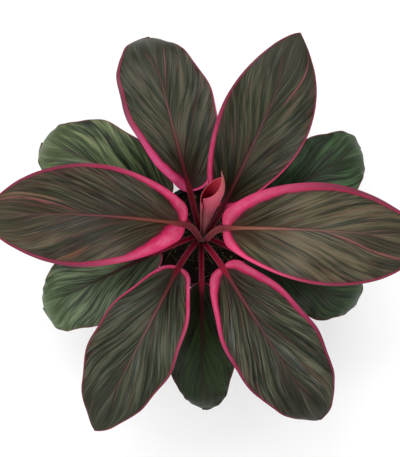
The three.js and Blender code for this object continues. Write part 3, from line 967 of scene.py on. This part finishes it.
@dataclass
class SoilBed:
    """Dark potting soil with crumbs, bark and fibres on its surface."""

    radius: float = 53.0
    floor: float = 3.9
    rings: int = 44
    sides: int = 132
    crumbs: int = 1500
    chips: int = 60
    fibres: int = 46

    FIBRE_SIDES = 4
    FIBRE_CUTS = 5
    FIBRE_POINTS = FIBRE_SIDES * (FIBRE_CUTS + 2)

    def height(self, x: float, y: float) -> float:
        """Height of the soil's surface in millimetres, with lumps and small crumbs."""
        swell = math.sin(0.19 * x + 1.0) * math.cos(0.16 * y)
        lumps = noise.noise(Vector((x * 0.16, y * 0.16, 3.0))) * 1.1
        grit = noise.noise(Vector((x * 0.55, y * 0.55, 7.0))) * 0.7
        return SOIL_HEIGHT + 0.4 * swell + lumps + grit

    def build(self) -> BMesh:
        """Turns the soil's body and roughens its top."""
        hole = STEM_RADIUS + CLEARANCE
        edge = self.radius - 0.5
        profile = [(0.0, self.floor), (38.8, self.floor), (39.1, self.floor + 0.2), (edge, SOIL_HEIGHT - 1.5)]
        for ring in range(self.rings + 1):
            profile.append((between(edge - 1.0, hole, ring / self.rings), SOIL_HEIGHT))
        depth = SOIL_HEIGHT - STEM_DEPTH
        profile += [(hole, depth), (0.0, depth)]
        bm = turned(profile, self.sides)
        for vert in bm.verts:
            if abs(vert.co.z / MM - SOIL_HEIGHT) < 0.01:
                vert.co.z = self.height(vert.co.x / MM, vert.co.y / MM) * MM
        return bm

    def _spot(self, random: np.random.Generator) -> tuple[float, float]:
        """A place on the soil, clear of the stem and the pot's wall."""
        distance = math.sqrt(random.uniform(8.5**2, (self.radius - 3.0) ** 2))
        turn = random.uniform(0.0, math.tau)
        return distance * math.cos(turn), distance * math.sin(turn)

    def build_crumbs(self) -> BMesh:
        """Scatters angular crumbs and larger bark chips, each sunk a little into the soil."""
        random = np.random.default_rng(5)
        bm = bmesh.new()
        shade = bm.verts.layers.float_vector.new("place")
        for count in range(self.crumbs + self.chips):
            chip = count >= self.crumbs
            x, y = self._spot(random)
            size = random.uniform(1.3, 2.6) if chip else random.uniform(0.35, 1.15)
            turn = Matrix.Rotation(random.uniform(0, math.tau), 4, random.normal(size=3))
            made = bmesh.ops.create_icosphere(bm, subdivisions=2 if chip else 1, radius=size * MM)["verts"]
            flat = Matrix.Diagonal((*random.uniform((0.6, 0.5, 0.4), (1.3, 1.1, 0.8)), 1.0))
            bmesh.ops.transform(bm, matrix=turn @ flat, verts=made)
            tone = random.random()
            for vert in made:
                vert.co += Vector(random.normal(scale=0.09 * size * MM, size=3))
                vert.co += Vector((x * MM, y * MM, (self.height(x, y) + 0.25 * size) * MM))
                vert[shade] = (tone, float(chip), 0.0)
        bmesh.ops.recalc_face_normals(bm, faces=bm.faces)
        return bm

    def build_fibres(self) -> BMesh:
        """Lays thin bent fibres over the soil."""
        random = np.random.default_rng(11)
        bm = bmesh.new()
        shade = bm.verts.layers.float_vector.new("place")
        for _ in range(self.fibres):
            x, y = self._spot(random)
            length = random.uniform(10.0, 34.0)
            thick = random.uniform(0.2, 0.55)
            turn = random.uniform(0.0, math.tau)
            curve = random.normal(scale=0.035)
            size = {"segments": self.FIBRE_SIDES, "radius1": thick, "radius2": thick * 0.6, "depth": length}
            made = bmesh.ops.create_cone(bm, **size)["verts"]
            long = {edge for vert in made for edge in vert.link_edges if edge.calc_length() > length / 2}
            bmesh.ops.subdivide_edges(bm, edges=list(long), cuts=self.FIBRE_CUTS)
            tone = random.random()
            bm.verts.ensure_lookup_table()
            for vert in bm.verts[-self.FIBRE_POINTS :]:
                along, aside = vert.co.z, vert.co.y
                heading = turn + curve * along
                bend = 0.5 * curve * along**2
                px = x + along * math.cos(turn) - bend * math.sin(turn) - aside * math.sin(heading)
                py = y + along * math.sin(turn) + bend * math.cos(turn) + aside * math.cos(heading)
                distance = math.hypot(px, py)
                if distance > self.radius - 2.0:
                    px *= (self.radius - 2.0) / distance
                    py *= (self.radius - 2.0) / distance
                pz = self.height(px, py) + 0.7 + vert.co.x
                vert.co = Vector((px, py, pz)) * MM
                vert[shade] = (tone, 0.0, 0.0)
        for face in bm.faces:
            face.smooth = True
        bmesh.ops.reverse_faces(bm, faces=bm.faces)
        return bm

    def earth(self) -> Material:
        """Damp peat: near-black brown with warm and pale specks."""
        tree = Tree("soil_earth")
        spot = tree.place()
        lumps = tree.noise(spot, 160.0, 4.0, 0.65)
        grit = tree.noise(spot, 620.0, 3.0, 0.7)
        base = tree.mix("0b0806", "271c12", lumps.smooth(0.38, 0.72))
        base = base.towards("4f3e27", grit.smooth(0.62, 0.78) * 0.6)
        normal = tree.bump(lumps * 0.5 + grit * 0.5, 0.0012)
        return tree.finish(base, 0.8 + lumps * 0.18, normal, Specular_IOR_Level=0.3)

    def crumb(self) -> Material:
        """Crumbs and bark from black to tan, a few of them pale."""
        tree = Tree("soil_crumbs")
        tone, _, _ = tree.attribute("place")
        grit = tree.noise(tree.place(), 700.0, 3.0, 0.7)
        stops = [(0.0, "0f0b08"), (0.5, "2e2015"), (0.86, "4a3824"), (0.95, "6e5738"), (1.0, "b3a07c")]
        base = tree.ramp(tone, stops).towards("1c130c", grit.smooth(0.35, 0.65) * 0.6)
        return tree.finish(base, 0.82 + grit * 0.15, tree.bump(grit, 0.0005), Specular_IOR_Level=0.3)

    def fibre(self) -> Material:
        """Dry fibres from brown to straw."""
        tree = Tree("soil_fibres")
        tone, _, _ = tree.attribute("place")
        grain = tree.noise(tree.place(), 500.0, 2.0)
        base = tree.mix("3a2e1a", "8b7f4e", tone).towards("2a2015", grain.smooth(0.4, 0.7) * 0.5)
        return tree.finish(base, 0.75 + grain * 0.2, None, Specular_IOR_Level=0.3)

    def dress(self) -> list[Object]:
        """Builds the soil with its crumbs and fibres."""
        return [
            make_piece("soil_bed", self.build(), self.earth(), "soil"),
            make_piece("soil_crumbs", self.build_crumbs(), self.crumb()),
            make_piece("soil_fibres", self.build_fibres(), self.fibre()),
        ]


@dataclass
class Cane(Piece):
    """The short stem with the scars of fallen leaves."""

    scar_spacing: float = 6.0
    scar_groove: float = 0.4
    sides: int = 48

    name = "stem"
    slot = Slot.STEM

    def build(self) -> BMesh:
        """Turns the stem and tilts each scar a little."""
        foot = SOIL_HEIGHT - STEM_DEPTH + CLEARANCE
        top = SOIL_HEIGHT + STEM_HEIGHT
        profile = [(0.0, foot), (STEM_RADIUS - 0.5, foot), (STEM_RADIUS, foot + 0.5)]
        profile.append((STEM_RADIUS, SOIL_HEIGHT - 3))
        height = SOIL_HEIGHT - 2.0
        while height < top - 0.8:
            share = (height - SOIL_HEIGHT - 2.0) / self.scar_spacing
            near = abs(share - round(share)) * self.scar_spacing
            dip = self.scar_groove * math.exp(-((near / 0.45) ** 2))
            profile.append((STEM_RADIUS - dip, height))
            height += 0.35
        profile += [(STEM_RADIUS, top - 0.6), (STEM_RADIUS - 0.6, top), (0.0, top)]
        bm = turned(profile, self.sides)
        for vert in bm.verts:
            if SOIL_HEIGHT < vert.co.z / MM < top - 4:
                turn = math.atan2(vert.co.y, vert.co.x)
                rung = math.floor((vert.co.z / MM - SOIL_HEIGHT + 1) / self.scar_spacing)
                vert.co.z += 0.5 * math.sin(turn + rung * 2.4) * MM
        return bm

    def material(self) -> Material:
        """Green-brown bark with fine lines, wine-red patches and a redder top."""
        tree = Tree("stem_bark")
        spot = tree.place()
        x, y, z = tree.parts(spot)
        lines = tree.grain(x * 420.0, y * 420.0, z * 60.0, detail=3.0, rough=0.6)
        patches = tree.noise(spot, 90.0, 3.0)
        base = tree.mix("4d3a2a", "7d6a4c", lines.smooth(0.3, 0.7))
        base = base.towards("5d2430", patches.smooth(0.45, 0.6) * 0.6)
        base = base.towards("5a1f33", z.smooth(0.112, 0.13) * 0.7)
        return tree.finish(base, 0.6 + lines * 0.2, tree.bump(lines, 0.0005, 0.8))


@dataclass
class Studio:
    """Pale floor, soft lights and a camera straight above the plant."""

    camera_place: tuple[float, float, float] = (-0.0027, 0.0086, 1.320)
    frame_height: int = 457
    focus_pixels: float = 1100.0

    LIT_PLACE = (0.0, 0.0, 0.1)
    SKY_STRENGTH = 0.58
    LIGHTS = (
        ("key", (-0.35, 1.5, 1.9), 1.6, 30.0),
        ("fill_left", (-1.8, -0.2, 1.5), 1.4, 13.0),
        ("fill_right", (1.8, -0.1, 1.5), 1.4, 11.5),
        ("fill_front", (0.2, -1.7, 1.6), 1.4, 10.0),
    )

    def floor(self) -> Object:
        """A wide pale floor at the pot's underside."""
        bm = bmesh.new()
        bmesh.ops.create_grid(bm, x_segments=8, y_segments=8, size=4.0)
        mesh = mesh_of("studio_floor", bm)
        floor = place_object("studio_floor", mesh)
        tree = Tree("floor_paper")
        grain = tree.noise(tree.place(), 300.0, 2.0)
        base = tree.mix("fbfbfb", "fefefe", grain)
        mesh.materials.append(tree.finish(base, 0.9 + grain * 0.05, None, Specular_IOR_Level=0.1))
        return floor

    def light(self, name: str, place: tuple[float, float, float], size: float, power: float) -> None:
        """A square soft light that faces the plant.

        Args:
            name: the light's name.
            place: where it stands, in metres.
            size: its side, in metres.
            power: its power, in watts.
        """
        data = bpy.data.lights.new(name, "AREA")
        data.shape = "SQUARE"
        data.size = size
        data.energy = power
        lamp = place_object(name, data)
        lamp.location = place
        lamp.rotation_euler = (Vector(self.LIT_PLACE) - Vector(place)).to_track_quat("-Z", "Y").to_euler()

    def lights(self) -> None:
        """Soft key light beyond the plant's top side, weaker ones round it and an even sky."""
        for name, place, size, power in self.LIGHTS:
            self.light(name, place, size, power)
        world = bpy.data.worlds.new("studio_sky")
        world.use_nodes = True
        sky = world.node_tree.nodes["Background"]
        sky.inputs["Color"].default_value = (1.0, 1.0, 1.0, 1.0)
        sky.inputs["Strength"].default_value = self.SKY_STRENGTH
        bpy.context.scene.world = world

    def camera(self) -> None:
        """A camera that looks straight down."""
        data = bpy.data.cameras.new("top_camera")
        data.lens = data.sensor_width * self.focus_pixels / self.frame_height
        data.clip_start = 0.05
        data.clip_end = 20.0
        eye = place_object("top_camera", data)
        eye.location = self.camera_place
        bpy.context.scene.camera = eye
        bpy.context.scene.view_settings.view_transform = "Standard"

    def build(self) -> None:
        """Sets up the camera, the floor and the lights."""
        self.camera()
        self.floor()
        self.lights()


LOWER_RISE = (58.0, 25.0, -8.0, -75.0)
OUTER_RISE = (60.0, 30.0, -5.0, -80.0)
CRIMSON = {"stalk": "8c0a2c", "stalk_edge": "985062", "under": "454a3c", "ruddy": 0.12}


def green_leaf(name: str, form: LeafForm, finish: LeafFinish) -> Leaf:
    """One of the older leaves, with deeper pleats and a more rippled margin."""
    return Leaf(name, form, finish, Slot.GREEN_LEAF, pleat=0.42, ripple=0.6)


def leaves() -> list[Leaf]:
    """Every leaf, from the top of the stem down."""
    return [
        Leaf(
            "leaf_left",
            LeafForm(38.6, 237, (118, 171, 184), (72, 46, 6, -22), 48, 218,
                     HalfBlade(53, 0.68, 0.7, (22, 25, 17, 7, 3.5, 2.2)),
                     HalfBlade(53, 0.6, 0.74, (14, 14, 9, 4.5, 2.8, 2)), reach=4.2),
            LeafFinish("17150b", "332f21", "585240", "331c10", "393624", "cd2b63",
                       "6d273e", "86503f", "66383a", "7c2c34", "9a4c58", "55524a", 0.13, 0.45, 0.25, 0.4,
                       (Mark(-1, 0.48, 0.016, 0.05, 0.95, "8a4649", 0.85),
                        Mark(-1, 0.42, 0.02, 0.25, 0.9, "6f5741", 0.8),
                        Mark(-1, 0.54, 0.012, 0.2, 0.8, "753e3d", 0.5),
                        Mark(1, 0.1, 0.03, 0.62, 0.88, "6d3e2b", 0.7))),
            Slot.TOP_LEAF,
        ),
        Leaf(
            "leaf_right",
            LeafForm(38.2, 322, (50, 1, -8), (74, 48, 8, -20), 48, 219,
                     HalfBlade(49, 0.6, 0.78, (16, 18, 14, 9.5, 5.5, 2.2)),
                     HalfBlade(55, 0.65, 0.62, (14, 12, 5, 3, 2.4, 2)), reach=5.2),
            LeafFinish("1b180f", "393728", "615945", "403120", "2e2919", "e23e75",
                       "712a3e", "a06c58", "75504c", "8f3c42", "b06660", "55524a", 0.57, 0.45, 0.3, 0.4,
                       (Mark(-1, 0.49, 0.02, 0.03, 1.0, "834b4a", 0.85),
                        Mark(1, 0.3, 0.02, 0.3, 0.9, "6d463e", 0.35))),
            Slot.TOP_LEAF,
        ),
        Leaf(
            "leaf_upper_right",
            LeafForm(26.5, 38, (60, 63.5, 68), (72, 46, 6, -18), 58, 204,
                     HalfBlade(46, 0.62, 0.73, (9, 10, 6.5, 4.5, 2, 1.2)),
                     HalfBlade(47, 0.95, 0.9, (7, 5, 2.2, 1.6, 1.4, 1.2)), reach=8.5),
            LeafFinish("0f1206", "262a1a", "494837", "1a1507", "2d2b1e", "d32a69",
                       "63273a", "693535", "593a3c", "6a1226", "8a4654", "4d5044", 0.91, 0.25, 0.35, 0.4,
                       (Mark(-1, 0.425, 0.012, 0.25, 0.85, "7f3944", 0.9),
                        Mark(1, 0.64, 0.012, 0.2, 0.55, "623e38", 0.5))),
            Slot.DARK_LEAF,
        ),
        Leaf(
            "leaf_lower_right",
            LeafForm(29, 290, (309, 302, 303), (68, 40, 2, -50), 52, 206,
                     HalfBlade(49, 0.53, 0.6, (12, 14, 9.5, 5.5, 2.5, 1.2)),
                     HalfBlade(46, 0.58, 0.74, (13, 13, 7, 4, 1.8, 1.2)),
                     ruffle=(4, 0.9, 0.8)),
            LeafFinish("0e1106", "272a1c", "575746", "2a1f19", "242218", "d4376d",
                       "61203a", "794043", "4c3535", "9c1034", "a35468", "4d5044", 0.29, 0.15, 0.6),
            Slot.DARK_LEAF,
        ),
        Leaf(
            "leaf_upper_left",
            LeafForm(20.6, 115, (103, 105, 104), (70, 38, 2, -75), 72, 186,
                     HalfBlade(45, 0.72, 0.51, (12, 14, 11.5, 7, 4.2, 1.4)),
                     HalfBlade(50, 0.6, 0.88, (5, 4, 2.6, 1.4, 1.2, 1)),
                     curl=2, ruffle=(4, 0.8, 0)),
            LeafFinish("111308", "2e3122", "514e40", "281711", "36372b", "de4282",
                       "66303f", "62242b", "694643", "78101f", "95465a", "4d5044", 0.73, 0.2, 0.4, 0.4,
                       (Mark(-1, 0.55, 0.015, 0.08, 0.45, "774146", 0.8),)),
            Slot.DARK_LEAF,
        ),
        Leaf(
            "leaf_lower_left",
            LeafForm(22, 220, (231, 243, 242), (68, 40, 2, -30), 57, 200,
                     HalfBlade(43, 0.58, 0.68, (9, 6, 5, 3.6, 1.6, 1.2)),
                     HalfBlade(48, 0.74, 0.82, (6, 5, 2.6, 1.8, 1.3, 1.2)),
                     ruffle=(4, 1.1, 0.82)),
            LeafFinish("10160a", "2a3020", "4f5242", "231c19", "2e3225", "ba2c5e",
                       "63303c", "6c3939", "674d4a", "820c28", "a05064", "4d5044", 0.45, 0.12, 0.5, 0.35,
                       (Mark(-1, 0.51, 0.012, 0.5, 0.8, "603934", 0.7),)),
            Slot.DARK_LEAF,
        ),
        green_leaf(
            "leaf_under_right",
            LeafForm(20, 345, (336, 335, 335), LOWER_RISE, 58, 145,
                     HalfBlade(39, 0.6, 0.42), HalfBlade(36, 0.48, 0.78),
                     curl=2, stalk=3.5, ruffle=(4, 1.9, 0.54)),
            LeafFinish("0e150a", "1f2e16", "3d502f", "151c11", "2c3e25", "7f1a37",
                       "3e2424", "4c1f27", "273022", **CRIMSON, seed=0.17, warm=0.05, painted_sheen=0.2),
        ),
        green_leaf(
            "leaf_under_left",
            LeafForm(17, 182, (200, 205, 207), LOWER_RISE, 55, 157,
                     HalfBlade(42, 0.5, 0.42, (3, 2.4, 1.4, 1, 0.8, 0.8)), HalfBlade(42, 0.5, 0.76),
                     curl=2, stalk=3.5, ruffle=(3, 1.8, 0.27)),
            LeafFinish("1b2317", "48553f", "788767", "23241e", "5b7543", "9a2c4f",
                       "4c352e", "4c242b", "3e352e", **CRIMSON, seed=0.63, warm=0.08, painted_sheen=0.4),
        ),
        green_leaf(
            "leaf_under_upper_right",
            LeafForm(14, 28, (28, 30, 28), OUTER_RISE, 66, 159,
                     HalfBlade(36, 0.6, 0.54), HalfBlade(43, 0.56, 0.7),
                     reach=7.5, curl=2, stalk=3.5, ruffle=(4, 1.1, 0.54)),
            LeafFinish("0d170b", "263922", "476240", "111910", "344628", "7f203e",
                       "4c352e", "4c272e", "30302b", **CRIMSON, seed=0.37, warm=0.05, painted_sheen=0.25),
        ),
        green_leaf(
            "leaf_under_upper_left",
            LeafForm(11, 150, (128, 148, 161), OUTER_RISE, 66, 167,
                     HalfBlade(41, 0.42, 0.5), HalfBlade(48, 0.5, 0.82),
                     curl=2, stalk=3.5, ruffle=(3, 2.1, 0.5)),
            LeafFinish("181f15", "404f33", "79835e", "1f231a", "66724a", "7f233e",
                       "4c402e", "4c2b2e", "4c4035", **CRIMSON, seed=0.83, warm=0.08, painted_sheen=0.35),
        ),
        green_leaf(
            "leaf_under_front",
            LeafForm(8, 262, (270, 271, 269), (58, 20, -12, -75), 54, 158,
                     HalfBlade(35, 0.56, 0.62), HalfBlade(37, 0.6, 0.85),
                     curl=2, stalk=3.2, ruffle=(3, 1.6, 0.42)),
            LeafFinish("070c02", "121d06", "23350f", "0f0f06", "1a260c", "701731",
                       "2a221b", "460f1d", "22221a", **CRIMSON, seed=0.97, warm=0.05, painted_sheen=0.15),
        ),
    ]


def main() -> None:
    """Builds the studio and the plant."""
    logging.basicConfig(level=logging.INFO, format="%(name)s %(message)s")
    Studio().build()
    for piece in (NurseryPot(), SoilBed(), Cane(), Spear(), *leaves()):
        piece.dress()


if __name__ == "__main__":
    main()
